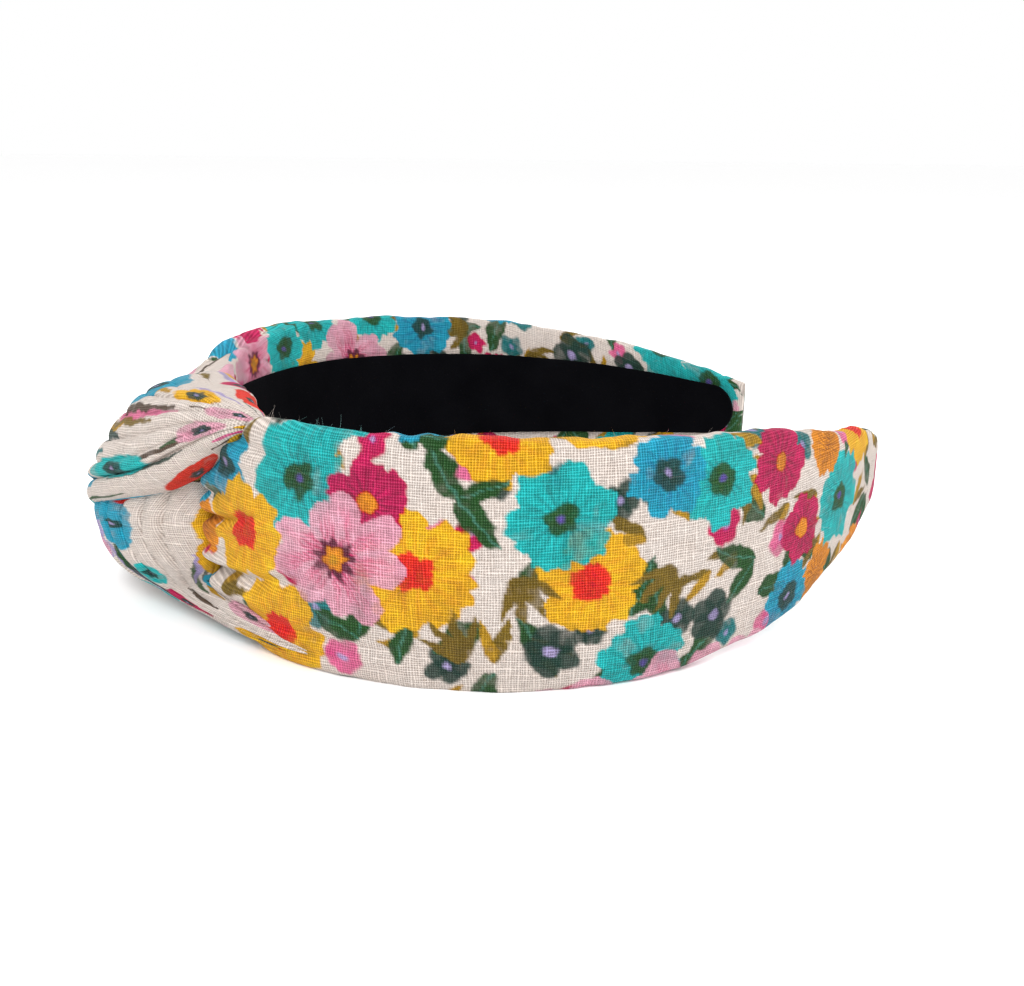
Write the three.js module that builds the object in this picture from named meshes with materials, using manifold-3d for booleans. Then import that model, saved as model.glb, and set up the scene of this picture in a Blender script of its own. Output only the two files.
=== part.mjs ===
// A knotted headband, lying on its edge: a sprung plastic band, padded with foam and covered with
// printed cotton gauze, lined with black velvet, and tied at the crown in two crossing wraps.
//
// Every place on it is given along the band: s runs along the band's outer face from the middle of
// the crown, + towards the left arm and - towards the right; n is outwards from that face; z is
// across the band. The part lies with +X from the knot to the open ends, +Y to the left arm, and
// +Z across the band. All sizes are in millimetres.

import * as THREE from "three";
import { mergeVertices } from "three/addons/utils/BufferGeometryUtils.js";
import Module from "manifold-3d";

const wasm = await Module();
wasm.setup();

// Driving dimensions
const ARM_LENGTH = 203; // along the outer face, from the middle of the crown to one tip
const BEND_RADII = [88, 75, 57, 78, 139, 182]; // of the outer face, at even stations crown to tip
const HALF_WIDTH = 22.3; // across the band at its widest, halved
const WIDEST_AT = 74; // along the arm
const TIP_NARROWING = 0.66; // share of the half width that is gone at the tip
const TIP_POWER = 2.36;
const KNOT_NARROWING = 0.64; // share that the knot gathers in at the middle of the crown
const CROWN_HALF_WIDTH = 15; // the band is no narrower than this inside the knot
const CROWN_THICKNESS = 7; // of the padded cover
const TIP_THICKNESS = 4.6;
const OUTER_POWER = 2.4; // how square the section's outer half is: 2 is an ellipse
const INNER_POWER = 6; // its inner half is nearly flat
const REST_Z = -21.8; // the edge that the headband lies on is pressed flat at this level

const FABRIC = 0.7; // two layers of gauze with their interlining
const CORE = 1.4; // the plastic band
const VELVET = 0.9;
const GAP = 0.3; // between pieces that touch
const LINING_HALF_WIDTH = 12.3;
const LINING_TIP_HALF_WIDTH = 5.6;
const LINING_END = ARM_LENGTH - 2;
const CORE_END = ARM_LENGTH - 3;
const SLOT_END = ARM_LENGTH - 9; // the cover's inner face is whole beyond this
const CORE_INSET = 1.2; // the core's edge lies this far inside the lining's
const SLOT_INSET = 3; // the cover's raw edges lie this far under the lining's edges
const END_ROUND = 6; // length of the rounded ends of core and lining

const FLEX_AT = 44; // where each arm is taken to bend from the crown
const CROWN_GAP = 1; // half the gap between the two gathered covers under the knot

const COLOURS = { print: 0xe6a9b8, velvet: 0x060607, plastic: 0xe9e6df, foam: 0xf4ecd6 };

const materials = {
  print: new THREE.MeshStandardMaterial({ color: COLOURS.print, roughness: 0.9, metalness: 0 }),
  velvet: new THREE.MeshStandardMaterial({ color: COLOURS.velvet, roughness: 1, metalness: 0 }),
  plastic: new THREE.MeshStandardMaterial({ color: COLOURS.plastic, roughness: 0.4, metalness: 0 }),
  foam: new THREE.MeshStandardMaterial({ color: COLOURS.foam, roughness: 1, metalness: 0 }),
};

// The band's line in plan. Curvature runs evenly from one station to the next, and the heading and
// the place are summed from it in short steps.
const LINE_STEP = 0.25;
const line = [];
{
  let heading = Math.PI / 2;
  const place = new THREE.Vector2(0, 0);
  for (let s = 0; s <= ARM_LENGTH + LINE_STEP; s += LINE_STEP) {
    line.push({ x: place.x, y: place.y, heading });
    const station = (Math.min(s, ARM_LENGTH) / ARM_LENGTH) * (BEND_RADII.length - 1);
    const i = Math.min(Math.floor(station), BEND_RADII.length - 2);
    const curvature = THREE.MathUtils.lerp(1 / BEND_RADII[i], 1 / BEND_RADII[i + 1], station - i);
    const middle = heading - (curvature * LINE_STEP) / 2;
    place.add(new THREE.Vector2(Math.cos(middle), Math.sin(middle)).multiplyScalar(LINE_STEP));
    heading -= curvature * LINE_STEP;
  }
}

// The point at s along the band, n outwards and z across.
function onBand(s, n, z) {
  const side = s < 0 ? -1 : 1;
  const step = Math.min(Math.abs(s) / LINE_STEP, line.length - 1.001);
  const a = line[Math.floor(step)];
  const b = line[Math.floor(step) + 1];
  const share = step - Math.floor(step);
  const heading = THREE.MathUtils.lerp(a.heading, b.heading, share);
  const x = THREE.MathUtils.lerp(a.x, b.x, share) - Math.sin(heading) * n;
  const y = THREE.MathUtils.lerp(a.y, b.y, share) + Math.cos(heading) * n;
  return new THREE.Vector3(x, side * y, z);
}

function halfWidth(s) {
  const along = Math.abs(s);
  if (along > WIDEST_AT) {
    const share = (along - WIDEST_AT) / (ARM_LENGTH - WIDEST_AT);
    return HALF_WIDTH * (1 - TIP_NARROWING * share ** TIP_POWER);
  }
  const share = (WIDEST_AT - along) / WIDEST_AT;
  return Math.max(CROWN_HALF_WIDTH, HALF_WIDTH * (1 - KNOT_NARROWING * share ** 2));
}

function thickness(s) {
  return THREE.MathUtils.lerp(CROWN_THICKNESS, TIP_THICKNESS, Math.abs(s) / ARM_LENGTH);
}

function liningHalfWidth(s) {
  const share = Math.abs(s) / ARM_LENGTH;
  return THREE.MathUtils.lerp(LINING_HALF_WIDTH, LINING_TIP_HALF_WIDTH, share ** 4);
}

// 1 along a strip, falling to nearly 0 over its rounded end.
function roundedEnd(s, end) {
  const into = Math.max(0, Math.abs(s) - (end - END_ROUND)) / END_ROUND;
  return Math.sqrt(Math.max(0.02, 1 - into ** 2));
}

// A point of the padded section, by its angle round the section (0 faces outwards) and how far it
// lies inside the outer surface.
function onSection(s, angle, inset) {
  const c = Math.cos(angle);
  const z = Math.sin(angle);
  const w = halfWidth(s) - inset;
  const h = thickness(s) / 2 - inset;
  const power = c < 0 ? INNER_POWER : OUTER_POWER;
  const n = -thickness(s) / 2 + h * Math.sign(c) * Math.abs(c) ** (2 / power);
  const across = w * Math.sign(z) * Math.abs(z) ** (2 / power);
  return onBand(s, n, Math.max(across, REST_Z + inset));
}

// Sweeps a flat shape along the band from one s to another. place(x, y, s) says where each point of
// the shape goes, so the section can change on the way.
function sweep(points, from, to, steps, place) {
  const shape = new THREE.Shape(points);
  const geometry = new THREE.ExtrudeGeometry(shape, { depth: 1, steps, bevelEnabled: false });
  const position = geometry.attributes.position;
  for (let i = 0; i < position.count; i++) {
    const s = THREE.MathUtils.lerp(from, to, position.getZ(i));
    const at = place(position.getX(i), position.getY(i), s);
    position.setXYZ(i, at.x, at.y, at.z);
  }
  geometry.computeVertexNormals();
  return geometry;
}

function ring(segments, from = 0, to = 2 * Math.PI) {
  return Array.from({ length: segments }, (_, i) => {
    const angle = THREE.MathUtils.lerp(from, to, i / segments);
    return new THREE.Vector2(Math.cos(angle), Math.sin(angle));
  });
}

// Solids, for the pieces that are cut out of one another.
function solidOf(geometry) {
  const bare = geometry.clone();
  bare.deleteAttribute("normal");
  bare.deleteAttribute("uv");
  const merged = mergeVertices(bare, 1e-3);
  const vertProperties = new Float32Array(merged.attributes.position.array);
  const triVerts = new Uint32Array(merged.index.array);
  return new wasm.Manifold(new wasm.Mesh({ numProp: 3, vertProperties, triVerts }));
}

function geometryOf(solid) {
  const mesh = solid.getMesh();
  const geometry = new THREE.BufferGeometry();
  geometry.setAttribute("position", new THREE.BufferAttribute(mesh.vertProperties, 3));
  geometry.setIndex(new THREE.BufferAttribute(mesh.triVerts, 1));
  geometry.computeVertexNormals();
  return geometry;
}

// The padded section swept from one s to another, its surface moved in by inset. Two more points
// beside each edge let the lower one lie flat.
const SECTION_SEGMENTS = 16;
const EDGE_ANGLES = [-98, -82, 82, 98].map(THREE.MathUtils.degToRad);
function paddedSolid(from, to, steps, inset) {
  const edges = EDGE_ANGLES.map((angle) => new THREE.Vector2(Math.cos(angle), Math.sin(angle)));
  const section = [...ring(SECTION_SEGMENTS), ...edges].sort((a, b) => a.angle() - b.angle());
  const place = (x, y, s) => onSection(s, Math.atan2(y, x), inset);
  return solidOf(sweep(section, from, to, steps, place));
}

// A flat strip that follows the band, with its outer face and its width given at each s.
function strip(from, to, steps, outerFace, depth, width) {
  const corners = [
    new THREE.Vector2(-1, -1),
    new THREE.Vector2(0, -1),
    new THREE.Vector2(0, 1),
    new THREE.Vector2(-1, 1),
  ];
  return sweep(corners, from, to, steps, (x, y, s) => {
    return onBand(s, -outerFace(s) + x * depth, y * width(s));
  });
}

// The fabric cover: a skin round foam and core, closed at the arm's tip, and open along the inner
// face, where its raw edges lie under the lining.
function coverGeometry(from, to, steps, tipAt) {
  const outside = paddedSolid(from, to, steps, 0);
  const inFrom = from === tipAt ? from + FABRIC : from - 1;
  const inTo = to === tipAt ? to - FABRIC : to + 1;
  const hollow = paddedSolid(inFrom, inTo, steps, FABRIC);
  const slotFrom = Math.max(inFrom, -SLOT_END);
  const slotTo = Math.min(inTo, SLOT_END);
  const slotFace = (s) => thickness(s) - 1.5 * FABRIC;
  const slotWidth = (s) => liningHalfWidth(s) - SLOT_INSET;
  const slot = strip(slotFrom, slotTo, steps, slotFace, 3 * FABRIC, slotWidth);
  return geometryOf(outside.subtract(hollow).subtract(solidOf(slot)));
}

// The foam pad: it fills the outer half of the cover and lies flat on the core.
function foamGeometry(from, to, steps) {
  const segments = 8;
  const half = [...ring(segments, -Math.PI / 2, Math.PI / 2), new THREE.Vector2(0, 1)];
  return sweep(half, from, to, steps, (x, y, s) => {
    const inset = FABRIC + GAP;
    const flat = inset + CORE + GAP - thickness(s);
    const level = (flat + thickness(s) / 2) / (thickness(s) / 2 - inset);
    const power = level < 0 ? INNER_POWER : OUTER_POWER;
    const last = Math.acos(Math.sign(level) * Math.abs(level) ** (power / 2));
    const angle = (Math.atan2(y, x) / (Math.PI / 2)) * last;
    return onSection(s, angle, inset);
  });
}

function coreGeometry(from, to, steps) {
  const outerFace = (s) => thickness(s) - FABRIC - GAP - CORE;
  const width = (s) => (liningHalfWidth(s) - CORE_INSET) * roundedEnd(s, CORE_END);
  return strip(from, to, steps, outerFace, CORE, width);
}

function liningGeometry(from, to, steps) {
  const outerFace = (s) => thickness(s) + GAP;
  const width = (s) => liningHalfWidth(s) * roundedEnd(s, LINING_END);
  return strip(from, to, steps, outerFace, VELVET, width);
}

// One wrap of gathered fabric in the knot: a flattened bundle along a route of [s, n, z], with a
// half width and a half depth that swell from its tucked ends to its middle. It faces away from
// the knot's centre.
const KNOT_CENTRE = new THREE.Vector3(6, 0, 0);
const WRAP_STEPS = 24;
function wrapSolid({ route, endWidth, midWidth, endDepth, midDepth }, extra) {
  const path = new THREE.CatmullRomCurve3(route.map(([s, n, z]) => onBand(s, n, z)));
  const geometry = sweep(ring(14), 0, 1, WRAP_STEPS, (x, y, t) => {
    const at = path.getPointAt(t);
    const along = path.getTangentAt(t);
    const out = at.clone().sub(KNOT_CENTRE);
    out.addScaledVector(along, -out.dot(along)).normalize();
    const across = along.clone().cross(out);
    const swell = Math.sin(Math.PI * t) ** 0.8;
    const depth = THREE.MathUtils.lerp(endDepth, midDepth, swell) + extra;
    const width = THREE.MathUtils.lerp(endWidth, midWidth, swell) + extra;
    at.addScaledVector(out, x * depth).addScaledVector(across, y * width);
    at.z = THREE.MathUtils.clamp(at.z, REST_Z - extra, -REST_Z + extra);
    return at;
  });
  return solidOf(geometry);
}

// The upper wrap comes over the right arm's upper edge, crosses the crown in front and goes down
// round the left arm's lower edge. The lower wrap crosses behind it the other way.
const OVER_WRAP = {
  route: [
    [-41.5, -1, 19],
    [-32, 3, 17.5],
    [-18, 8.5, 12],
    [-4, 12, 7.5],
    [8, 12.5, 1],
    [20, 8.5, -9],
    [31, 3, -16.5],
    [41, -1, -18.8],
  ],
  endWidth: 2.6,
  midWidth: 13,
  endDepth: 2.2,
  midDepth: 7.5,
};
const UNDER_WRAP = {
  route: [
    [-41.5, -1, -19],
    [-32, 2, -17.5],
    [-18, 6, -14],
    [-4, 7.5, -10.5],
    [8, 6, -2],
    [20, 5.5, 8.5],
    [31, 2.5, 16],
    [41, -1, 18.8],
  ],
  endWidth: 2.6,
  midWidth: 13.5,
  endDepth: 2.2,
  midDepth: 8,
};
const ENVELOPE_TO = 60; // the wraps clear the padded band as far as this
const envelope = paddedSolid(-ENVELOPE_TO, ENVELOPE_TO, 32, -GAP);
const overWrap = wrapSolid(OVER_WRAP, 0).subtract(envelope);
const underWrap = wrapSolid(UNDER_WRAP, 0).subtract(wrapSolid(OVER_WRAP, GAP)).subtract(envelope);

const CROWN_STEPS = 25; // odd, so that one facet lies square across the middle of the crown
const GATHER_STEPS = 7;
const ARM_STEPS = 21;
const headband = new THREE.Group();

function addPiece(name, geometry, material) {
  const mesh = new THREE.Mesh(geometry, material);
  mesh.name = name;
  headband.add(mesh);
}

addPiece("core_crown", coreGeometry(-FLEX_AT, FLEX_AT, CROWN_STEPS), materials.plastic);
addPiece("lining_crown", liningGeometry(-FLEX_AT, FLEX_AT, CROWN_STEPS), materials.velvet);
addPiece("knot_over_wrap", geometryOf(overWrap), materials.print);
addPiece("knot_under_wrap", geometryOf(underWrap), materials.print);

// The arms are alike: one lies along rising s and the other along falling s.
for (const [side, sign] of [["left", 1], ["right", -1]]) {
  const span = (near, far) => (sign > 0 ? [near, far] : [-far, -near]);
  const from = FLEX_AT + GAP;
  const tip = sign * ARM_LENGTH;
  const gather = coverGeometry(...span(CROWN_GAP, FLEX_AT), GATHER_STEPS, tip);
  const cover = coverGeometry(...span(from, ARM_LENGTH), ARM_STEPS, tip);
  addPiece(`gather_${side}`, gather, materials.print);
  addPiece(`cover_${side}_arm`, cover, materials.print);
  addPiece(`core_${side}_arm`, coreGeometry(...span(from, CORE_END), ARM_STEPS), materials.plastic);
  addPiece(`foam_${side}_arm`, foamGeometry(...span(from, CORE_END), ARM_STEPS), materials.foam);
  addPiece(
    `lining_${side}_arm`,
    liningGeometry(...span(from, LINING_END), ARM_STEPS),
    materials.velvet,
  );
}

// The origin is at the bottom centre of the whole part.
const box = new THREE.Box3().setFromObject(headband);
const centre = box.getCenter(new THREE.Vector3());
headband.position.set(-centre.x, -centre.y, -box.min.z);

export default headband;
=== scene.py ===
"""Looks of the knotted headband: printed gauze over padding, a knot at the crown and a velvet lining.

Places on the band are given as in the CAD part: s runs along the outer face from the middle of the crown
(+ towards the left arm), n is outwards from that face and z is across the band, all in millimetres.
"""

import math
from itertools import product

import bpy
import numpy as np
from mathutils import Matrix, Vector


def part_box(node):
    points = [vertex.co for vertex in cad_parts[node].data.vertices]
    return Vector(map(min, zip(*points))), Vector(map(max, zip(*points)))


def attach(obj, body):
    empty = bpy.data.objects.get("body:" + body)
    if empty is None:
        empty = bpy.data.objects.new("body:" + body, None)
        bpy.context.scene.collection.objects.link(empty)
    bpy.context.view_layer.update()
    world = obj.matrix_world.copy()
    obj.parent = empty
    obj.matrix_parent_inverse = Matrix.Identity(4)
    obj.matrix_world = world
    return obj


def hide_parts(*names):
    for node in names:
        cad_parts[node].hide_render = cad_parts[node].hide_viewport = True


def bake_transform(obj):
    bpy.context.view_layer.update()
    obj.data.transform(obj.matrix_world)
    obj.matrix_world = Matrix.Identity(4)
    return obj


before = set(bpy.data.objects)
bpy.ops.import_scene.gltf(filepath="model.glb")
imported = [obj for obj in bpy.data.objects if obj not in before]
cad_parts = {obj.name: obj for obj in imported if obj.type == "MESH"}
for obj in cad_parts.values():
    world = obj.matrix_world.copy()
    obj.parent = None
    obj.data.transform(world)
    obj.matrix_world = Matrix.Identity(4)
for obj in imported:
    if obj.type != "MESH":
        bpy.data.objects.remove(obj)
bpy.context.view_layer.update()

# ---------------------------------------------------------------- the band's line and section

ARM = 203.0
RADII = np.array([88, 75, 57, 78, 139, 182.0])
REST = 21.8  # the edge that the headband lies on is this far below the band's middle
FLEX = 44.0  # where each arm bends from the crown

STEP = 0.25
line_s = np.arange(0, ARM + 2 * STEP, STEP)
bend = np.interp(np.minimum(line_s, ARM) / ARM * (len(RADII) - 1), np.arange(len(RADII)), 1 / RADII)
heading = np.pi / 2 - np.concatenate([[0], np.cumsum(bend[:-1] * STEP)])
mid = heading - bend * STEP / 2
line_x = np.concatenate([[0], np.cumsum(np.cos(mid[:-1]) * STEP)])
line_y = np.concatenate([[0], np.cumsum(np.sin(mid[:-1]) * STEP)])
SHIFT_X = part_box("cover_left_arm")[1].x * 1000 - np.interp(ARM, line_s, line_x)


def on_band(s, n, z):
    """Points at s, n and z in the part's frame, in metres."""
    s, n, z = np.broadcast_arrays(np.asarray(s, float), np.asarray(n, float), np.asarray(z, float))
    along, side = np.abs(s), np.where(s < 0, -1.0, 1.0)
    h = np.interp(along, line_s, heading)
    x = np.interp(along, line_s, line_x) - np.sin(h) * n
    y = side * (np.interp(along, line_s, line_y) + np.cos(h) * n)
    return np.stack([x + SHIFT_X, y, np.maximum(z, -REST) + REST], -1) / 1000


def half_width(s):
    s = np.abs(s)
    out = 22.3 * (1 - 0.66 * (np.clip(s - 74, 0, None) / (ARM - 74)) ** 2.36)
    return np.where(s > 74, out, np.maximum(13.5, 22.3 * (1 - 0.64 * ((74 - s) / 74) ** 2)))


def thickness(s):
    return 7.0 + (4.6 - 7.0) * np.abs(s) / ARM


def lining_half_width(s):
    return 12.3 + (5.6 - 12.3) * (np.abs(s) / ARM) ** 4


def smooth(x, low, high):
    t = np.clip((x - low) / (high - low), 0, 1)
    return t * t * (3 - 2 * t)


# ---------------------------------------------------------------- noise


def cell_value(cells, seed):
    h = np.full(cells.shape[:-1], seed * 374761393 + 668265263, np.int64)
    for k, prime in zip(range(cells.shape[-1]), (73856093, 19349663, 83492791)):
        h ^= cells[..., k] * prime
    h = (h ^ (h >> 13)) * 1274126177 & 0xFFFFFFFF
    h = (h ^ (h >> 16)) * 2246822519 & 0xFFFFFFFF
    return ((h >> 8) & 0xFFFF) / 65535


def noise(*coords, size=1.0, seed=0):
    """Smooth noise from -1 to 1, its bumps about size apart."""
    p = np.stack(np.broadcast_arrays(*coords), -1) / size
    cell = np.floor(p).astype(np.int64)
    f = p - cell
    f = f * f * (3 - 2 * f)
    total = 0
    for corner in product((0, 1), repeat=p.shape[-1]):
        c = np.array(corner)
        weight = np.prod(np.where(c == 1, f, 1 - f), -1)
        total = total + weight * cell_value(cell + c, seed)
    return total * 2 - 1


# ---------------------------------------------------------------- meshes from grids

FIBRE_STEPS = 5  # rings along each loose thread
FIBRE_RADIUS = 0.000017
FIBRES_ON_ARM = 900


def fibres(points, colour, uv, chance, count, seed):
    """Loose threads standing off a grid: points, faces, uv and colours. They start where chance is high."""
    rng = np.random.default_rng(seed)
    normal = normals_of(points).reshape(-1, 3)
    at = rng.choice(len(normal), count, p=(chance / chance.sum()).ravel())
    start, out = points.reshape(-1, 3)[at], normal[at]
    length = rng.uniform(0.0003, 0.0012, (count, 1))
    way = out * 0.7 + rng.normal(0, 0.55, (count, 3))
    curl = rng.normal(0, 1.3, (count, 3))
    side = np.cross(way, rng.normal(0, 1, (count, 3)))
    side /= np.linalg.norm(side, axis=1, keepdims=True)
    other = np.cross(way / np.linalg.norm(way, axis=1, keepdims=True), side)
    verts = []
    for k in range(FIBRE_STEPS):
        t = k / (FIBRE_STEPS - 1)
        core = start + length * (way * t + curl * t * t * 0.5) - out * 0.0001
        for corner in range(3):
            a = 2 * math.pi * corner / 3
            verts.append(core + FIBRE_RADIUS * (1.05 - t * 0.6) * (side * math.cos(a) + other * math.sin(a)))
    verts = np.stack(verts, 1)
    base = np.arange(count)[:, None, None] * FIBRE_STEPS * 3
    ring = np.arange(FIBRE_STEPS - 1)[:, None] * 3
    one = np.array([[k, (k + 1) % 3, (k + 1) % 3 + 3, k + 3] for k in range(3)])
    tube = (ring[:, None] + one.reshape(1, 12)[:, None]).reshape(1, -1, 4)
    faces = (base[..., None] + tube[None]).reshape(-1, 4)
    pale = colour.reshape(-1, 3)[at] * 0.6 + linear("cream") * 0.4
    each = FIBRE_STEPS * 3
    return verts.reshape(-1, 3), faces, np.repeat(uv.reshape(-1, 2)[at], each, 0), np.repeat(pale, each, 0)


def grid_mesh(name, points, uv, colour=None, cap_start=False, cap_end=False, extra=None):
    """A mesh from rows of points, each row closed on itself. uv is in millimetres of cloth."""
    rows, cols = points.shape[:2]
    i = np.arange(rows * cols).reshape(rows, cols)
    j = np.roll(i, -1, 1)
    quads = np.stack([i[:-1], j[:-1], j[1:], i[1:]], -1).reshape(-1, 4)
    faces = quads.tolist()
    if cap_start:
        faces.append(i[0][::-1].tolist())
    if cap_end:
        faces.append(i[-1].tolist())
    points, uv = points.reshape(-1, 3), uv.reshape(-1, 2)
    if extra is not None:
        faces += (extra[1] + len(points)).tolist()
        points, uv = np.concatenate([points, extra[0]]), np.concatenate([uv, extra[2]])
        colour = np.concatenate([colour.reshape(-1, 3), extra[3]])
    mesh = bpy.data.meshes.new(name)
    mesh.from_pydata(points.tolist(), [], faces)
    loops = np.zeros(len(mesh.loops), np.int32)
    mesh.loops.foreach_get("vertex_index", loops)
    layer = mesh.uv_layers.new(name="cloth")
    layer.data.foreach_set("uv", uv[loops].astype(np.float32).ravel())
    if colour is not None:
        made = mesh.attributes.new("print", "FLOAT_COLOR", "POINT")
        rgba = np.concatenate([colour.reshape(-1, 3), np.ones((len(points), 1))], 1)
        made.data.foreach_set("color", rgba.astype(np.float32).ravel())
    mesh.polygons.foreach_set("use_smooth", np.ones(len(mesh.polygons), bool))
    mesh.update()
    obj = bpy.data.objects.new(name, mesh)
    bpy.context.scene.collection.objects.link(obj)
    return obj


def normals_of(points):
    """Outward normals of a grid whose rows are closed loops."""
    along = np.gradient(points, axis=0)
    around = np.roll(points, -1, 1) - np.roll(points, 1, 1)
    n = np.cross(around, along)
    return n / np.maximum(np.linalg.norm(n, axis=-1, keepdims=True), 1e-12)


# ---------------------------------------------------------------- painting the print

PAINT = {
    "cream": (240, 229, 221),
    "sky": (72, 168, 196),
    "blue": (52, 104, 150),
    "teal": (32, 116, 118),
    "mint": (130, 196, 184),
    "turquoise": (58, 190, 190),
    "pine": (18, 60, 54),
    "slate": (22, 56, 46),
    "leaf": (36, 76, 34),
    "olive": (122, 98, 18),
    "gold": (190, 146, 40),
    "yellow": (250, 190, 46),
    "orange": (242, 152, 46),
    "coral": (240, 60, 46),
    "red": (212, 34, 58),
    "magenta": (206, 18, 92),
    "pink": (236, 138, 172),
    "blush": (240, 186, 202),
    "maroon": (74, 22, 42),
    "brown": (66, 42, 14),
    "lavender": (182, 170, 212),
    "violet": (112, 98, 172),
}


SPRIGS = ("slate", "teal", "magenta", "pink")
STREAKS = ("leaf", "brown", "teal", "gold", "pine", "pink", "olive", "lavender", "slate")
PETALS = ("sky", "magenta", "yellow", "turquoise", "blush", "coral")


def linear(name):
    c = np.array(PAINT[name]) / 255
    return np.where(c <= 0.04045, c / 12.92, ((c + 0.055) / 1.055) ** 2.4)


class Cloth:
    """A piece of cloth to paint: u and v in millimetres for each vertex, and a colour for each."""

    def __init__(self, u, v, seed):
        large, small = 0.55, 0.25
        self.u = u + large * noise(u, v, size=2.3, seed=seed) + small * noise(u, v, size=0.9, seed=seed + 1)
        self.v = v + large * noise(u, v, size=2.3, seed=seed + 2)
        self.v = self.v + small * noise(u, v, size=0.9, seed=seed + 3)
        self.wash = 0.6 * noise(u, v, size=3.5, seed=seed + 4) + 0.4 * noise(u, v, size=1.3, seed=seed + 5)
        self.colour = np.ones(u.shape + (3,)) * linear("cream")
        self.seed = seed

    def lay(self, mask, name, strength=1.0, wash=0.3):
        m = (np.clip(mask, 0, 1) * strength * np.clip(1.02 + wash * self.wash, 0, 1))[..., None]
        tone = (1 + 0.3 * self.wash)[..., None]
        self.colour = self.colour * (1 - m) + np.clip(linear(name) * tone, 0, 1) * m

    def local(self, u, v, turn):
        """Coordinates about (u, v), the first along the direction turn, in degrees."""
        a = math.radians(turn)
        du, dv = self.u - u, self.v - v
        return du * math.cos(a) + dv * math.sin(a), -du * math.sin(a) + dv * math.cos(a)

    def edge(self, distance, soft=0.35):
        """1 inside, where distance is under 0, falling over soft millimetres."""
        return np.clip(0.5 - distance / soft, 0, 1)

    def petal(self, u, v, turn, length, width, name, strength=1.0, blunt=0.55):
        """A petal from (u, v) outwards: widest at the share blunt of its length."""
        a, b = self.local(u, v, turn)
        t = np.clip(a / length, 0, 1)
        round_end = np.sqrt(np.clip(1 - ((t - blunt) / (1 - blunt)) ** 2, 0, 1))
        shape = np.where(t < blunt, np.sin(t / blunt * np.pi / 2), round_end)
        inside = (a > 0) & (a < length)
        distance = np.where(inside, np.abs(b) - shape * width / 2, 1e3)
        self.lay(self.edge(distance), name, strength)

    def leaf(self, u, v, turn, length, width, name="leaf", strength=1.0, vein=True):
        a, b = self.local(u, v, turn)
        t = np.clip(a / length, 0, 1)
        shape = np.sin(np.pi * t ** 0.8) ** 0.8
        distance = np.where((a > 0) & (a < length), np.abs(b) - shape * width / 2, 1e3)
        mask = self.edge(distance)
        self.lay(mask, name, strength)
        if vein:
            self.lay(mask * self.edge(np.abs(b) - 0.16, 0.3), "mint", 0.35)

    def blot(self, u, v, radius, name, strength=1.0, stretch=1.0, turn=0.0, soft=0.5):
        a, b = self.local(u, v, turn)
        distance = np.hypot(a / stretch, b) - radius
        self.lay(self.edge(distance, soft), name, strength)

    def stroke(self, points, width, name, strength=1.0):
        """A brush stroke through points, thinner at its ends."""
        points = np.array(points, float)
        best = np.full(self.u.shape, 1e3)
        steps = len(points) - 1
        for k in range(steps):
            p, q = points[k], points[k + 1]
            d = q - p
            t = np.clip(((self.u - p[0]) * d[0] + (self.v - p[1]) * d[1]) / (d @ d), 0, 1)
            gone = np.hypot(self.u - p[0] - t * d[0], self.v - p[1] - t * d[1])
            share = (k + t) / steps
            w = width / 2 * np.sin(np.pi * np.clip(share, 0.06, 0.94)) ** 0.5
            best = np.minimum(best, gone - w)
        self.lay(self.edge(best), name, strength)

    def bloom(self, u, v, radius, lobes, name, second, turn=0.0, depth=0.22):
        """A ruffled open flower, with darker strokes out of its middle."""
        a, b = self.u - u, self.v - v
        r, angle = np.hypot(a, b), np.arctan2(b, a) - math.radians(turn)
        ruffle = 1 - depth + depth * np.abs(np.cos(lobes * angle / 2)) ** 0.5
        ruffle = ruffle + 0.05 * np.sin(angle * 7 + self.seed) + 0.04 * np.sin(angle * 17)
        self.lay(self.edge(r - radius * ruffle), name)
        streak = np.clip(np.sin(angle * lobes * 3 + 1.3) * 0.5 + 0.5, 0, 1) ** 2
        fade = np.clip(1 - r / (radius * 0.85), 0, 1)
        self.lay(self.edge(r - radius * ruffle) * streak * fade ** 0.6, second, 0.85)
        gap = np.clip(1 - np.abs(np.cos(lobes * angle / 2)) * 5, 0, 1) * np.clip(r / radius - 0.25, 0, 1)
        self.lay(self.edge(r - radius * ruffle) * gap, second, 0.5)

    def daisy(self, u, v, radius, petals, turn):
        """A daisy of long petals, with brush strokes up each from a ringed middle."""
        for k in range(petals):
            angle = turn + 360 * k / petals + 9 * math.sin(k * 2.4)
            length = radius * (0.88 + 0.14 * math.sin(k * 1.7 + turn))
            self.petal(u, v, angle, length, radius * 0.48, "blush", 0.95, blunt=0.66)
            a, b = self.local(u, v, angle)
            narrow = radius * 0.17 * np.clip(1 - a / length, 0, 1) ** 0.5
            inside = self.edge(np.abs(b) - narrow) * (a > 0) * (a < length * 0.86)
            streaks = 0.5 + 0.5 * np.sin(b * 7.5 + 1.5 * noise(self.u, self.v, size=5, seed=k + 40))
            fade = np.clip(1.05 - a / (length * 0.9), 0, 1)
            self.lay(inside * streaks * fade, "magenta", 0.9)
            self.lay(inside * (1 - streaks) * fade ** 2, "pink", 0.7)
        a, b = self.u - u, self.v - v
        r, angle = np.hypot(a, b), np.arctan2(b, a)
        self.lay(self.edge(r - radius * (0.27 + 0.05 * np.sin(angle * 9)), 0.5), "maroon", 0.9)
        self.lay(self.edge(r - radius * (0.16 + 0.03 * np.sin(angle * 6 + 1)), 0.5), "orange", 1)
        self.lay(self.edge(r - radius * 0.07, 0.6), "gold", 0.7)

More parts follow.
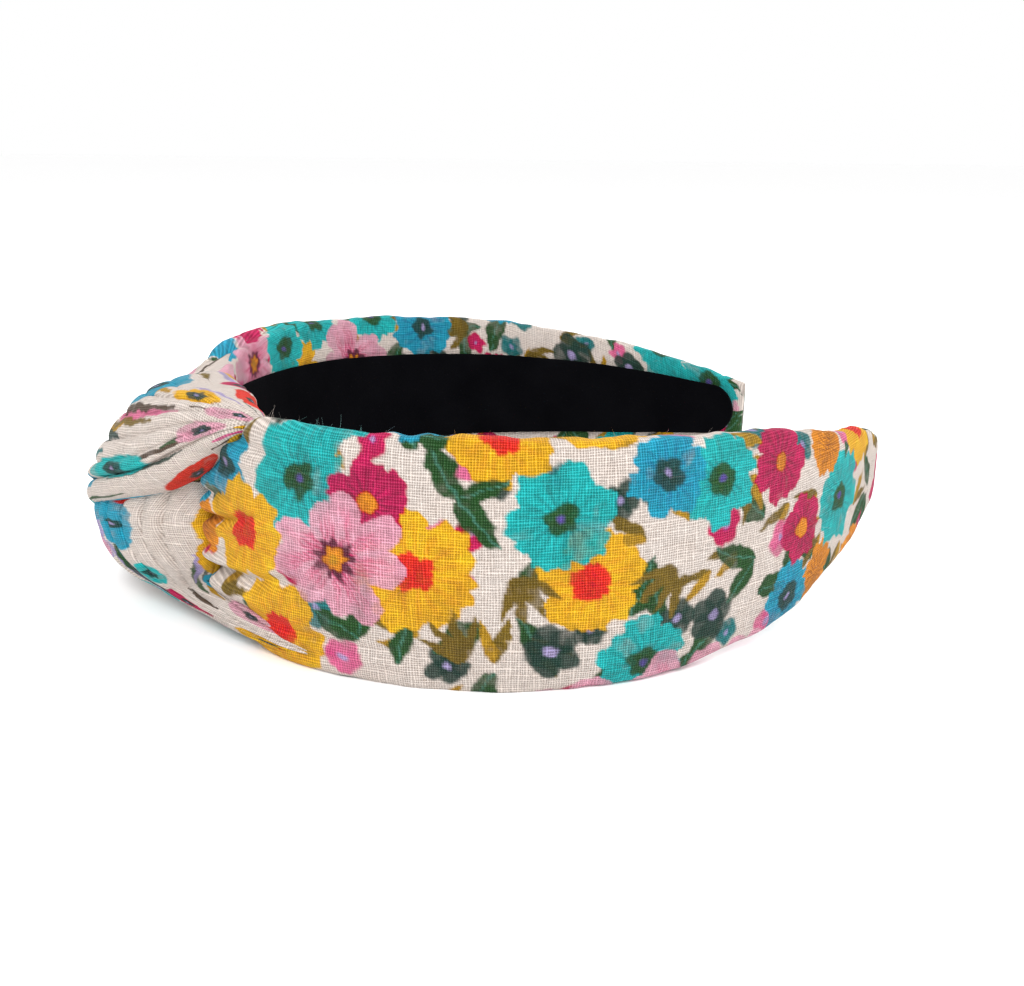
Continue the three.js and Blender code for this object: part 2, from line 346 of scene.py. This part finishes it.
    def clover(self, u, v, radius, name, middle="lavender", turn=0.0):
        """A small flower of round lobes."""
        for k in range(5):
            a = math.radians(turn + 72 * k)
            du, dv = radius * 0.55 * math.cos(a), radius * 0.55 * math.sin(a)
            self.blot(u + du, v + dv, radius * 0.5, name, 0.95)
        self.blot(u, v, radius * 0.4, name, 1)
        self.blot(u, v, radius * 0.22, middle, 0.9)

    def scatter(self, places, seed):
        """Flowers and leaves of mixed kinds, one at each of places."""
        rng = np.random.default_rng(seed)
        for u, v in places:
            kind, turn = rng.integers(0, 9), rng.uniform(0, 360)
            if kind == 0:
                self.daisy(u, v, rng.uniform(10, 15), 9, turn)
            elif kind == 1:
                self.bloom(u, v, rng.uniform(8, 11), 5, "yellow", "orange", turn)
                self.bloom(u, v, 3.5, 5, "coral", "red", turn)
            elif kind == 2:
                self.bloom(u, v, rng.uniform(7, 10), 6, "turquoise", "teal", turn)
                self.clover(u, v, 3, "leaf", "violet", turn)
            elif kind == 3:
                self.bloom(u, v, rng.uniform(7, 9), 6, "sky", "blue", turn)
                self.clover(u, v, 3, "pine", "lavender", turn)
            elif kind == 4:
                self.bloom(u, v, rng.uniform(6, 9), 5, "magenta", "maroon", turn)
                self.blot(u, v, 1.8, "orange")
            elif kind == 5:
                self.clover(u, v, rng.uniform(4, 6), "slate", "lavender", turn)
            elif kind == 6:
                self.leaf(u, v, turn, 11, 4.6)
                self.leaf(u, v, turn + 70, 9, 4)
            elif kind == 7:
                for k in range(4):
                    self.leaf(u, v, turn + 26 * k, 9, 2, "olive", vein=False)
            else:
                self.bloom(u, v, rng.uniform(5, 8), 5, "orange", "maroon", turn)


def spread(u_from, u_to, v_from, v_to, apart, seed):
    """Places spread over a stretch of cloth, jittered about a slanted grid."""
    rng = np.random.default_rng(seed)
    made = []
    for row, v in enumerate(np.arange(v_from, v_to, apart * 0.86)):
        for u in np.arange(u_from + (row % 2) * apart / 2, u_to, apart):
            made.append((u + rng.uniform(-0.22, 0.22) * apart, v + rng.uniform(-0.22, 0.22) * apart))
    rng.shuffle(made)
    return made


def paint_arm(c, seed):
    """Sprigs and buds over the whole cloth, with flowers on top, v up from the middle of the outer face."""
    rng = np.random.default_rng(seed)
    for k, (u, v) in enumerate(spread(-4, 208, -56, 56, 9, seed + 1)):
        turn = rng.uniform(0, 360)
        if k % 3 == 0:
            c.leaf(u, v, turn, rng.uniform(8, 13), rng.uniform(3.6, 5.6))
        elif k % 3 == 1:
            c.clover(u, v, rng.uniform(2.4, 3.8), SPRIGS[k % len(SPRIGS)], "lavender", turn)
        else:
            c.leaf(u, v, turn, 9, 2.2, "olive", vein=False)
            c.leaf(u, v, turn + 34, 8, 2, "gold", vein=False)
    c.scatter(spread(-4, 208, -56, 56, 16, seed + 2), seed + 3)


def paint_knot(c, seed):
    """Flowers drawn out along the folds: u along the wrap and v round its section, both 0 to 100."""
    rng = np.random.default_rng(seed)
    for k in range(60):
        u, v, half = rng.uniform(0, 100), rng.uniform(0, 100), rng.uniform(6, 18)
        bend, drift = rng.uniform(-1.2, 1.2, 2)
        path = [(u - half, v), (u, v + bend), (u + half, v + drift)]
        c.stroke(path, rng.uniform(1.0, 3.2), STREAKS[k % len(STREAKS)], 0.93)
    for k, (u, v) in enumerate(spread(4, 98, 4, 98, 21, seed + 1)):
        c.blot(u, v, rng.uniform(4, 6.5), PETALS[k % len(PETALS)], 0.95, stretch=rng.uniform(1.3, 2.2))
        c.clover(u, v, 2.6, "pine", "lavender", rng.uniform(0, 72))


# ---------------------------------------------------------------- the arms' padded covers

SECTION_FINE = np.linspace(-np.pi, np.pi, 1201)


def section(s):
    """The padded section at each s, as n and z at even steps of its outline, with v the distance along it."""
    w, t = half_width(s)[:, None], thickness(s)[:, None]
    end = np.sqrt(np.clip(1 - (np.clip(s - (ARM - 1.6), 0, None) / 1.6) ** 2, 0.0, 1))[:, None]
    c, z = np.cos(SECTION_FINE)[None], np.sin(SECTION_FINE)[None]
    power = np.where(c < 0, 5.0, 3.3)
    n = -t / 2 + t / 2 * end * np.sign(c) * np.abs(c) ** (2 / power)
    across = w * (1 - (1 - end) * 0.10) * np.sign(z) * np.abs(z) ** (2 / power)
    steps = np.hypot(np.diff(n, axis=1), np.diff(across, axis=1))
    length = np.concatenate([np.zeros((len(s), 1)), np.cumsum(steps, 1)], 1)
    share = np.linspace(0, 1, COLUMNS, endpoint=False)
    rows = []
    for k in range(len(s)):
        at = share * length[k, -1]
        outward, sideways = np.interp(at, length[k], n[k]), np.interp(at, length[k], across[k])
        rows.append((outward, sideways, at - length[k, -1] / 2))
    return [np.array(x) for x in zip(*rows)]


ROWS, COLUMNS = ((470, 260))
CUSHION_Z = [-26, -10, -4, 3, 9, 12.5, 17.5, 21, 26]
CUSHION_S = [25, 22, 20.8, 20.8, 22.5, 26.5, 33.5, 39, 43]


def groove(s, z, path, width, depth):
    """A crease along path, deepest in the middle and fading to its far end."""
    path = np.array(path, float)
    best, share = np.full(s.shape, 1e3), np.zeros(s.shape)
    for k in range(len(path) - 1):
        p, d = path[k], path[k + 1] - path[k]
        t = np.clip(((s - p[0]) * d[0] + (z - p[1]) * d[1]) / (d @ d), 0, 1)
        gone = np.hypot(s - p[0] - t * d[0], z - p[1] - t * d[1])
        share = np.where(gone < best, (k + t) / (len(path) - 1), share)
        best = np.minimum(best, gone)
    fade = (1 - share) ** 0.8
    shoulder = 0.35 * np.exp(-(((best - 2.2 * width) / (1.3 * width)) ** 2))
    return -depth * fade * (np.exp(-((best / width) ** 2)) - shoulder)


def cover(side):
    """One arm's cover, closed round the section and rounded at the tip."""
    s = np.concatenate([np.linspace(0, 18, ROWS // 14, endpoint=False), np.linspace(18, ARM, ROWS)])
    n, z, v = section(s)
    along = np.repeat(s[:, None], COLUMNS, 1)
    flip = 1 if side < 0 else -1  # the left arm meets the knot as the right arm does, turned over
    zk, shift = z * flip, 0 if side < 0 else 3
    outer = smooth(n, -thickness(along) * 0.55, -thickness(along) * 0.3)
    reach = np.clip((along - shift - np.interp(zk, CUSHION_Z, CUSHION_S)) / 9, 0, 1)
    puff = -5.5 + 8.2 * np.sqrt(1 - (1 - reach) ** 2.2) - 2.7 * smooth(along, 34, 86)
    lift = puff * outer
    deep = outer * smooth(along, 22, 27)
    seed = 100 if side < 0 else 200
    for path, width, depth in [
        ([(21, -0.5), (34, 1.4), (50, 6)], 0.9, 2.6),
        ([(21, -10), (33, -8.8), (43, -7.4), (60, -4)], 1.2, 3.2),
        ([(25, 10), (34, 12), (46, 12)], 1.2, 1.4),
        ([(21, 4.5), (30, 5.5), (38, 7.5)], 0.8, 1.3),
        ([(21, -5), (31, -5), (40, -4)], 0.8, 1.3),
        ([(30, -14), (44, -14), (62, -15), (84, -15)], 1.2, 1.1),
        ([(30, -17), (48, -17.5), (74, -19)], 1.0, 0.9),
        ([(38, 17), (50, 16), (66, 15)], 1.2, 1.2),
    ]:
        lift = lift + deep * groove(along - shift, zk, path, width, depth)
    # soft unevenness of padding, puckers along the edges and small creases at the tip
    lift = lift + 0.32 * noise(along, v, size=17, seed=seed) + 0.14 * noise(along, v, size=5, seed=seed + 1)
    crinkle = noise(along * 0.5 + v * 0.2, v * 1.3, size=2.2, seed=seed + 6)
    lift = lift + outer * (0.05 + 0.13 * (1 - smooth(along, 30, 70))) * crinkle
    edge = smooth(np.abs(z) / half_width(along), 0.9, 1.0)
    inner = 1 - outer
    pucker = noise(along, v * 0.25, size=3.2, seed=seed + 2)
    lift = lift + (0.22 * edge + 0.16 * inner) * pucker
    tip = smooth(along, 178, 198)
    for k, (at, tilt) in enumerate([(184, 0.25), (188.5, -0.2), (192, 0.35), (195.5, 0.1)]):
        far = along - at - tilt * z
        broken = smooth(noise(v, size=7, seed=seed + 5 + k), -0.3, 0.3)
        lift = lift - 0.28 * tip * np.exp(-((far / 0.55) ** 2)) * broken
    # the outline wanders a little where the cloth is pulled round the edge
    wander = 0.45 * noise(along, size=21, seed=seed + 3) + 0.18 * noise(along, size=8, seed=seed + 4)
    grow = 1 + wander * edge / half_width(along)
    dn = np.gradient(n, axis=1)
    dz = np.gradient(z, axis=1)
    size = np.maximum(np.hypot(dn, dz), 1e-9)
    n2, z2 = n + lift * dz / size, z * grow - lift * dn / size
    points = on_band(side * along, n2, z2)
    if side < 0:
        points, uv_v = points[:, ::-1], v[:, ::-1]
    else:
        uv_v = v
    cloth = Cloth(along, uv_v, seed)
    paint_arm(cloth, 60 + side * 20)
    name = "fabric_right_arm" if side < 0 else "fabric_left_arm"
    uv = np.stack([along, uv_v], -1)
    near_knot = np.exp(-(((along - 48) / 14) ** 2) - ((uv_v - 21) / 3) ** 2)
    chance = (0.05 + near_knot) * (np.abs(uv_v) < 26) * (points[..., 2] > 0.004)
    loose = fibres(points, cloth.colour, uv, chance, FIBRES_ON_ARM, seed)
    return grid_mesh(name, points, uv, cloth.colour, True, True, loose)


# ---------------------------------------------------------------- the knot's wraps


def between(a, b, c, d, f):
    """The share f of the way from b to c, on a smooth curve through a, b, c and d."""
    square, cube = 2 * a - 5 * b + 4 * c - d, 3 * b - a - 3 * c + d
    return 0.5 * (2 * b + (c - a) * f + square * f**2 + cube * f**3)


def through(stations, rows):
    """Stations of control points, run through smoothly: a grid of rows by control points by s, n, z."""
    p = np.array(stations, float)
    p = np.concatenate([2 * p[:1] - p[1:2], p, 2 * p[-1:] - p[-2:-1]])
    t = np.linspace(0, len(stations) - 1 - 1e-9, rows)
    k, f = t.astype(int), (t % 1)[:, None, None]
    return between(p[k], p[k + 1], p[k + 2], p[k + 3], f)


def closed_rows(guides, columns):
    """Each row of control points, closed smoothly on itself."""
    m = guides.shape[1]
    q = np.linspace(0, m, columns, endpoint=False)
    k, f = q.astype(int), (q % 1)[None, :, None]
    return between(*(guides[:, (k + j) % m] for j in (-1, 0, 1, 2)), f)


def pleats(q, t, valleys, seed):
    """Rounded folds between valleys, each given by its place round the section and its depth."""
    place = np.array([x[0] for x in valleys])
    depth = np.array([x[1] for x in valleys])
    large, small = noise(t * 5, q * 3, seed=seed), noise(t * 14, q * 9, seed=seed + 1)
    q = q + 0.010 * large + 0.004 * small
    k = np.clip(np.searchsorted(place, q), 1, len(place) - 1)
    left, right = place[k - 1], place[k]
    x = np.clip((q - left) / (right - left), 0, 1)
    inside = (q > place[0]) & (q < place[-1])
    d = depth[k - 1] * (1 - x) + depth[k] * x
    fade = 0.75 + 0.45 * noise(t * 3, k * 1.7, size=1, seed=seed + 2)
    return np.where(inside, d * fade * ((4 * x * (1 - x)) ** 0.45 - 0.8), 0)


def bundle(name, stations, rows, columns, valleys, seed):
    """A bundle of folded cloth through stations of control points."""
    shaped = closed_rows(through(stations, rows), columns)
    points = on_band(shaped[..., 0], shaped[..., 1], shaped[..., 2]) * 1000
    t = np.repeat(np.linspace(0, 1, rows)[:, None], columns, 1)
    q = np.repeat(np.linspace(0, 1, columns, endpoint=False)[None], rows, 0)
    around = np.linalg.norm(np.roll(points, -1, 1) - points, axis=-1)
    girth = around.sum(1, keepdims=True)
    normal = normals_of(points)
    lift = pleats(q, t, valleys, seed) * np.clip(girth / 75, 0.12, 1.1)
    lift = lift + 0.18 * noise(t * 90, q * 70, size=5, seed=seed + 7)
    points = points + normal * lift[..., None]
    points[..., 2] = np.maximum(points[..., 2], 0)
    step = np.linalg.norm(np.diff(points, axis=0), axis=-1).mean(1)
    u = np.repeat(np.concatenate([[0], np.cumsum(step)])[:, None], columns, 1)
    v = np.cumsum(around, 1) - girth / 2
    cloth = Cloth(t * 100, q * 100, seed)
    paint_knot(cloth, seed + 60)
    uv = np.stack([u, v], -1)
    return grid_mesh(name, points / 1000, uv, cloth.colour, True, True)


# Each station: hidden middle, lower front edge, front crest, top crest, inner rim
OVER = [
    [(-38, -7, 14), (-38.5, -6.5, 13.5), (-39.5, -7.0, 14), (-39.5, -7.6, 15), (-38.5, -7.4, 15.5)],
    [(-37, -4, 16), (-39, -1.5, 17.4), (-40, -0.6, 19.2), (-39.5, -2.6, 20.6), (-37.6, -6.2, 19.2)],
    [(-34, -2, 14), (-35.8, 1.4, 15.0), (-36, 4.0, 18.6), (-34.5, -0.2, 22.2), (-33.5, -7.0, 20.4)],
    [(-26, -1, 9), (-29.5, 2.6, 9.6), (-28.5, 7.6, 15.2), (-25, 3, 22.8), (-25, -9.6, 20.6)],
    [(-13, 1, 6), (-21.5, 6.2, 4.6), (-18, 12.2, 9.8), (-12, 4.5, 21.0), (-16, -11.6, 20)],
    [(-1, 4, 2), (-11.5, 13.2, 0.6), (-7, 17.4, 5.8), (0, 6.0, 18.2), (-4, -12, 19)],
    [(9, 5, -2), (-1, 17, -3.4), (5, 18.8, 1.2), (11, 7.5, 16.2), (10, -9.4, 18.8)],
    [(20, 3, -7), (12, 14, -12), (16, 16, -6), (21, 10, 8), (22, -2, 15)],
    [(31, 0, -13), (27, 6, -18.6), (29, 9.5, -14.5), (32, 7.5, -5), (33, 1, -1)],
    [(42, -3, -17), (41, -4, -21.0), (42, 0.5, -20.2), (43, 1.2, -16), (43, -1.5, -14)],
]
# Each station: hidden middle, right edge, right crest, left crest, left edge, inner
UNDER = [
    [(-10, 2, 5), (-26, -1.5, 6), (-19, 7, 6), (-6, 14, 4), (6, 12, 3), (4, 4, 4)],
    [(-10, 3, -3), (-26.5, -1.0, 0), (-18.5, 9.5, -0.5), (-5, 17.2, -2.5), (7, 17.2, -4.5), (8, 6, -5)],
    [(-10, 2, -7), (-27, -0.5, -5.5), (-19, 9.8, -6), (-5.5, 17, -8), (5, 16.2, -11), (6, 3, -12)],
    [(-13, -1, -11), (-28, 0.5, -9.4), (-21.5, 8, -10.8), (-10.5, 14.2, -13), (-2, 13, -15.8), (-2, -4, -15)],
    [(-20, -3, -13), (-30, 2.4, -11.2), (-25.5, 6.6, -13.6), (-18.5, 8.2, -16.6),
     (-11.5, 6.5, -18.2), (-12, -7, -15)],
    [(-30, -3, -14), (-36, 2.2, -12.8), (-33.5, 4.6, -15.8), (-29.5, 3.6, -18.6),
     (-24, 1, -19.8), (-24, -8.2, -17)],
    [(-44, -3, -16), (-47.5, 1.6, -15.2), (-46.5, 2.4, -17.6), (-44, 1.0, -19.8),
     (-39, -3, -20.8), (-40, -7.4, -19)],
    [(-61, -2.5, -19.0), (-63, -0.8, -18.6), (-63, -0.6, -19.6), (-62, -1.5, -20.9),
     (-59, -3.5, -21.5), (-60, -5, -20.6)],
]
OVER_VALLEYS = [
    (0.13, 1.8), (0.365, 3.0), (0.42, 1.6), (0.475, 1.6), (0.53, 1.0), (0.585, 1.3), (0.64, 1.0),
    (0.70, 1.1), (0.78, 1.0), (0.9, 0.8),
]
UNDER_VALLEYS = [
    (0.10, 1.0), (0.2, 1.5), (0.31, 1.7), (0.365, 1.3), (0.42, 1.8), (0.47, 1.4), (0.52, 1.8),
    (0.58, 1.2), (0.65, 1.3), (0.76, 0.8),
]


def turned(stations, sink):
    """The same stations, turned half a turn about the knot's outward axis."""
    out = []
    for k, row in enumerate(stations):
        lower = sink * (1 - smooth(k, 3, 6))
        flat = 0.80 + 0.20 * float(smooth(k, 3, 6))
        sunk = float(smooth(k, 4, 6.5))
        keep = 1 - 0.8 * sunk
        squash = flat * (1 - 0.07 * sunk)
        out.append([(-s + 3, (n - float(lower) + 3) * keep - 3, -z * squash) for s, n, z in row])
    return out


knot_rows, knot_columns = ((330, 300))
over = bundle("knot_over", OVER, knot_rows, knot_columns, OVER_VALLEYS, 300)
under_right = bundle("knot_under_right", UNDER, knot_rows, knot_columns, UNDER_VALLEYS, 400)
under_left = bundle("knot_under_left", turned(UNDER, 6), knot_rows, knot_columns, UNDER_VALLEYS, 500)
arms = {-1: cover(-1), 1: cover(1)}

# ---------------------------------------------------------------- the velvet lining

LINING_ROUND = 5.5  # its end is rounded over this length


def lining(side):
    """Half of the lining, from the middle of the crown to its rounded end."""
    end = ARM - 2
    straight = end - LINING_ROUND
    rounding = straight + LINING_ROUND * np.sin(np.linspace(0.02, np.pi / 2, 26))
    s = np.concatenate([np.linspace(0, straight, 200), rounding])
    past = np.clip(s - straight, 0, None) / LINING_ROUND
    w = lining_half_width(s) * np.sqrt(np.clip(1 - past**2, 0.0004, 1))
    a = np.linspace(-np.pi, np.pi, 96, endpoint=False)
    c, z = np.cos(a)[None], np.sin(a)[None]
    depth = 1.25
    n = -(thickness(s)[:, None] + 0.15 + depth / 2) + depth / 2 * np.sign(c) * np.abs(c) ** 0.5
    across = w[:, None] * np.sign(z) * np.abs(z) ** 0.3
    wave = 0.16 * noise(s[:, None] + 0 * z, np.sign(z) * 40, size=9, seed=31)
    along = np.repeat(s[:, None], len(a), 1)
    points = on_band(side * along, n, across * (1 + wave / 12))
    uv = np.stack([along, across], -1)
    if side < 0:
        points, uv = points[:, ::-1], uv[:, ::-1]
    name = "velvet_right" if side < 0 else "velvet_left"
    return grid_mesh(name, points, uv, None, True, True)


linings = {side: lining(side) for side in (-1, 1)}

# ---------------------------------------------------------------- materials


def nodes_of(name):
    mat = bpy.data.materials.new(name)
    mat.use_nodes = True
    tree = mat.node_tree
    shader = tree.nodes["Principled BSDF"]
    return mat, tree, shader


def math_node(tree, operation, a, b=None, clamp=False):
    node = tree.nodes.new("ShaderNodeMath")
    node.operation, node.use_clamp = operation, clamp
    for socket, value in zip(node.inputs, (a, b)):
        if value is None:
            continue
        if isinstance(value, (int, float)):
            socket.default_value = value
        else:
            tree.links.new(value, socket)
    return node.outputs[0]


def noise_node(tree, scale, detail=2.0, vector=None):
    node = tree.nodes.new("ShaderNodeTexNoise")
    node.inputs["Scale"].default_value = scale
    node.inputs["Detail"].default_value = detail
    if vector is not None:
        tree.links.new(vector, node.inputs["Vector"])
    return node.outputs["Fac"]


def gauze():
    """Double gauze: open, uneven weave over a watercolour print, with painted shade in the gaps between
    threads and painted highlight where threads cross.
    """
    mat, tree, shader = nodes_of("printed_gauze")
    new, link = tree.nodes.new, tree.links.new
    uv = new("ShaderNodeUVMap")
    uv.uv_map = "cloth"
    place = new("ShaderNodeTexCoord").outputs["Object"]
    parts = new("ShaderNodeSeparateXYZ")
    link(uv.outputs[0], parts.inputs[0])
    pitch = 0.46
    threads = []
    for axis in ("X", "Y"):
        bent = new("ShaderNodeVectorMath")
        bent.operation = "MULTIPLY"
        bent.inputs[1].default_value = (1.0, 0.16, 1) if axis == "X" else (0.16, 1.0, 1)
        link(uv.outputs[0], bent.inputs[0])
        stray = noise_node(tree, 0.8, 3, bent.outputs[0])
        moved = math_node(tree, "MULTIPLY_ADD", stray, 0.9)
        link(parts.outputs[axis], moved.node.inputs[2])
        wave = math_node(tree, "SINE", math_node(tree, "MULTIPLY", moved, 2 * math.pi / pitch))
        threads.append(math_node(tree, "MULTIPLY_ADD", wave, 0.5))
        threads[-1].node.inputs[2].default_value = 0.5
    height = math_node(tree, "MAXIMUM", threads[0], threads[1])
    both = math_node(tree, "MULTIPLY", threads[0], threads[1])
    # hole marks the gaps between threads, where painted shade goes on the print
    hole = math_node(tree, "POWER", math_node(tree, "SUBTRACT", 1.0, height, clamp=True), 1.1)
    slub = noise_node(tree, 420, 3, place)
    open_weave = math_node(tree, "MULTIPLY_ADD", slub, 1.7)
    open_weave.node.inputs[2].default_value = -0.05
    hole = math_node(tree, "MULTIPLY", hole, open_weave)

    ink = new("ShaderNodeAttribute")
    ink.attribute_name = "print"
    grain = noise_node(tree, 1500, 2, place)
    patch = noise_node(tree, 260, 3, place)
    tone = new("ShaderNodeHueSaturation")
    link(ink.outputs["Color"], tone.inputs["Color"])
    value = math_node(tree, "MULTIPLY_ADD", grain, 0.22)
    # painted highlight: the print's value rises where threads cross
    crossing_highlight = math_node(tree, "MULTIPLY_ADD", both, 0.16)
    crossing_highlight.node.inputs[2].default_value = 0.54
    link(crossing_highlight, value.node.inputs[2])
    link(value, tone.inputs["Value"])
    saturation = math_node(tree, "MULTIPLY_ADD", patch, 0.5)
    saturation.node.inputs[2].default_value = 0.95
    link(saturation, tone.inputs["Saturation"])
    # painted shade: the print is multiplied towards warm brown in the gaps between threads
    gap_shade = new("ShaderNodeMix")
    gap_shade.data_type, gap_shade.blend_type = "RGBA", "MULTIPLY"
    link(math_node(tree, "MULTIPLY", hole, 0.8, clamp=True), gap_shade.inputs["Factor"])
    link(tone.outputs[0], gap_shade.inputs["A"])
    gap_shade.inputs["B"].default_value = (0.42, 0.36, 0.33, 1)
    # painted highlight: a little white screened over the places where threads cross
    light = new("ShaderNodeMix")
    light.data_type, light.blend_type = "RGBA", "SCREEN"
    link(math_node(tree, "MULTIPLY", both, 0.035), light.inputs["Factor"])
    link(gap_shade.outputs["Result"], light.inputs["A"])
    light.inputs["B"].default_value = (1, 1, 1, 1)
    link(light.outputs["Result"], shader.inputs["Base Color"])
    shader.inputs["Roughness"].default_value = 0.9
    shader.inputs["Specular IOR Level"].default_value = 0.2
    shader.inputs["Sheen Weight"].default_value = 0.04
    shader.inputs["Sheen Roughness"].default_value = 0.5
    bump = new("ShaderNodeBump")
    bump.inputs["Distance"].default_value = 0.00022
    bump.inputs["Strength"].default_value = 0.9
    rough = math_node(tree, "MULTIPLY_ADD", slub, 0.5)
    link(height, rough.node.inputs[2])
    link(rough, bump.inputs["Height"])
    link(bump.outputs[0], shader.inputs["Normal"])
    return mat


def velvet():
    """Black velvet, its short pile brushed unevenly."""
    mat, tree, shader = nodes_of("velvet")
    new, link = tree.nodes.new, tree.links.new
    place = new("ShaderNodeTexCoord").outputs["Object"]
    pile = noise_node(tree, 2600, 2, place)
    brushed = noise_node(tree, 90, 3, place)
    ramp = new("ShaderNodeValToRGB")
    ramp.color_ramp.elements[0].color = (0.0012, 0.0012, 0.0016, 1)
    ramp.color_ramp.elements[1].color = (0.0042, 0.0042, 0.0052, 1)
    link(brushed, ramp.inputs[0])
    link(ramp.outputs[0], shader.inputs["Base Color"])
    shader.inputs["Roughness"].default_value = 1.0
    shader.inputs["Specular IOR Level"].default_value = 0.0
    shader.inputs["Sheen Weight"].default_value = 0.02
    shader.inputs["Sheen Roughness"].default_value = 0.4
    bump = new("ShaderNodeBump")
    bump.inputs["Distance"].default_value = 0.0002
    bump.inputs["Strength"].default_value = 0.6
    link(pile, bump.inputs["Height"])
    link(bump.outputs[0], shader.inputs["Normal"])
    return mat


gauze_material, velvet_material = gauze(), velvet()
for obj in (over, under_right, under_left, *arms.values()):
    obj.data.materials.append(gauze_material)
for obj in linings.values():
    obj.data.materials.append(velvet_material)

# ---------------------------------------------------------------- the over wrap on the crown, the other pieces fixed in place, and the CAD parts they replace hidden


def bend_points(side):
    return on_band(side * (FLEX - 10), -3, 0), on_band(side * (FLEX + 18), -3, 0)


for side, arm in ((-1, "right"), (1, "left")):
    start, end = bend_points(side)
    for obj in (arms[side], linings[side], under_right if side < 0 else under_left):
        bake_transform(obj)
    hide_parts(f"cover_{arm}_arm", f"foam_{arm}_arm", f"core_{arm}_arm", f"gather_{arm}")
    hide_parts(f"lining_{arm}_arm")
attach(over, "crown")
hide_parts("knot_over_wrap", "core_crown")
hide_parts("knot_under_wrap")
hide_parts("lining_crown")

# ---------------------------------------------------------------- floor, light and camera

floor_mesh = bpy.data.meshes.new("floor")
floor_mesh.from_pydata([(-9, -9, 0), (9, -9, 0), (9, 9, 0), (-9, 9, 0)], [], [(0, 1, 2, 3)])
floor = bpy.data.objects.new("floor", floor_mesh)
bpy.context.scene.collection.objects.link(floor)
floor_mat, _, floor_shader = nodes_of("floor")
floor_shader.inputs["Base Color"].default_value = (0.99, 0.99, 0.99, 1)
floor_shader.inputs["Roughness"].default_value = 0.9
floor_mesh.materials.append(floor_mat)

world = bpy.context.scene.world or bpy.data.worlds.new("world")
bpy.context.scene.world = world
world.use_nodes = True
world.node_tree.nodes["Background"].inputs[0].default_value = (1, 1, 1, 1)
world.node_tree.nodes["Background"].inputs[1].default_value = 1.0


def area_light(name, at, aim, size, power):
    light = bpy.data.lights.new(name, "AREA")
    light.shape, light.size, light.energy = "DISK", size, power
    obj = bpy.data.objects.new(name, light)
    obj.location = at
    obj.rotation_euler = (Vector(aim) - Vector(at)).to_track_quat("-Z", "Y").to_euler()
    bpy.context.scene.collection.objects.link(obj)


area_light("key", (-0.35, -0.55, 0.75), (0, 0, 0.02), 0.45, 5.2)
area_light("fill", (0.7, -0.5, 0.5), (0, 0, 0.02), 0.7, 3.0)
area_light("back", (0.1, 0.7, 0.7), (0, 0, 0.02), 0.6, 3.0)

camera_data = bpy.data.cameras.new("camera")
camera_data.sensor_width = 36
camera_data.lens = 38.88
camera_data.clip_start, camera_data.clip_end = 0.01, 20
camera = bpy.data.objects.new("camera", camera_data)
bpy.context.scene.collection.objects.link(camera)
bpy.context.scene.camera = camera
yaw, pitch, roll = 0.3093, 0.3016, 0.0149
forward = Vector((math.sin(yaw) * math.cos(pitch), math.cos(yaw) * math.cos(pitch), -math.sin(pitch)))
right = Vector((math.cos(yaw), -math.sin(yaw), 0))
up = right.cross(forward)
side_axis = right * math.cos(roll) + up * math.sin(roll)
up_axis = up * math.cos(roll) - right * math.sin(roll)
turn = Matrix((side_axis, up_axis, -forward)).transposed().to_4x4()
place = Vector(((-2.81 + SHIFT_X) / 1000, -229.36 / 1000, (65.99 + REST) / 1000))
camera.matrix_world = Matrix.Translation(place) @ turn

scene = bpy.context.scene
scene.view_settings.view_transform = "Standard"
scene.view_settings.look = "None"
